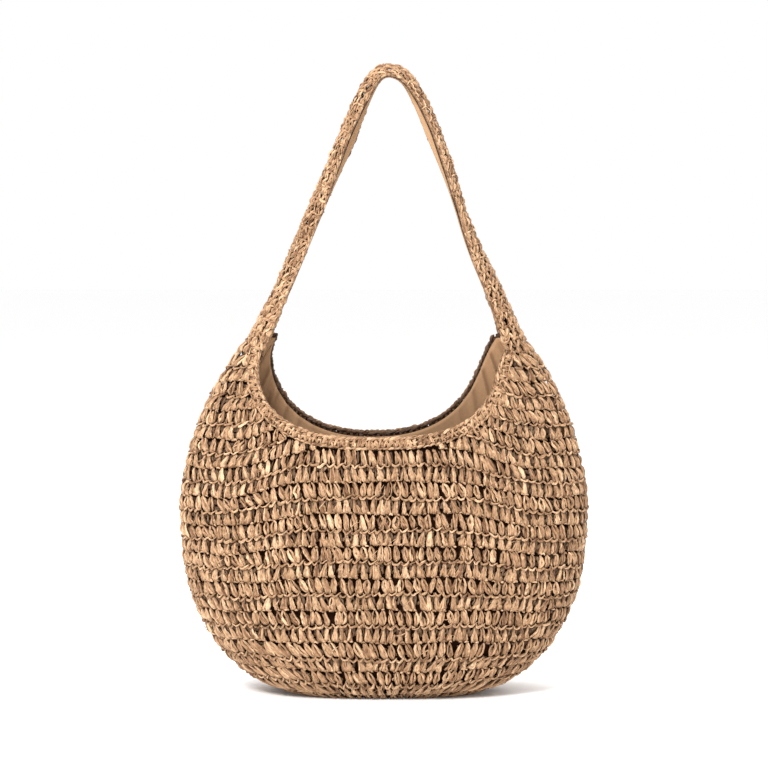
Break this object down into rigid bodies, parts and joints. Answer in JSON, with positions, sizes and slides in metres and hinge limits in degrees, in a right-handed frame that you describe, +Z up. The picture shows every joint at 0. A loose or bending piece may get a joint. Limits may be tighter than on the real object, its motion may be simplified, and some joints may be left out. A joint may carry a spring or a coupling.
{
  "type": "hobo bag",
  "caption": "Crocheted straw hobo bag with a scooped mouth, one curled shoulder strap, a cloth lining, a magnetic snap and a zip pocket inside.",
  "frame": {"origin": "on the floor, under the middle of the bag's base", "axes": "+Z up along the bag's height, -Y out of the bag's front, +X to the right seen from the front"},
  "size_m": [0.4046, 0.1438, 0.6285],
  "materials": {
    "paper_straw": "matt twisted paper ribbon, slightly waxy along its creases",
    "lining_cloth": "plain weave tan cotton blend, matt",
    "snap_metal": "pale brass plate, satin",
    "zip_tape": "woven tape, matt",
    "zip_coil": "nylon coil",
    "zip_metal": "pale brass plate, satin"
  },
  "bodies": {
    "bag": {"front_panel": "paper_straw", "back_panel": "paper_straw", "gusset_left": "paper_straw", "gusset_right": "paper_straw", "base_panel": "paper_straw", "rim_edging_front": "paper_straw", "rim_edging_back": "paper_straw", "strap_end_left": "paper_straw", "strap_end_right": "paper_straw", "lining_front": "lining_cloth", "lining_back": "lining_cloth", "lining_left": "lining_cloth", "lining_right": "lining_cloth", "lining_floor": "lining_cloth", "pocket_panel": "lining_cloth", "snap_socket": "snap_metal", "snap_stud": "snap_metal", "snap_washer_front": "snap_metal", "snap_washer_back": "snap_metal", "zip_tape_lower": "zip_tape", "zip_tape_upper": "zip_tape", "zip_coil_lower": "zip_coil", "zip_coil_upper": "zip_coil", "zip_stop_closed": "zip_metal", "zip_stop_open": "zip_metal"},
    "strap": {"strap_band": "paper_straw", "strap_backing": "lining_cloth"},
    "zip_slider": {"zip_slider": "zip_metal"},
    "zip_puller": {"zip_puller": "zip_metal"}
  },
  "joints": [
    {"name": "strap_fold", "type": "hinge", "parent": "bag", "child": "strap", "pos_m": [0, 0, 0.388], "axis": [1, 0, 0], "range_deg": [-110, 110]},
    {"name": "zip_slide", "type": "slide", "parent": "bag", "child": "zip_slider", "axis": [1, 0, 0], "range_m": [0, 0.128]},
    {"name": "puller_swing", "type": "hinge", "parent": "zip_slider", "child": "zip_puller", "pos_m": [-0.064, 0.039, 0.203], "axis": [1, 0, 0], "range_deg": [-170, 0]}
  ]
}
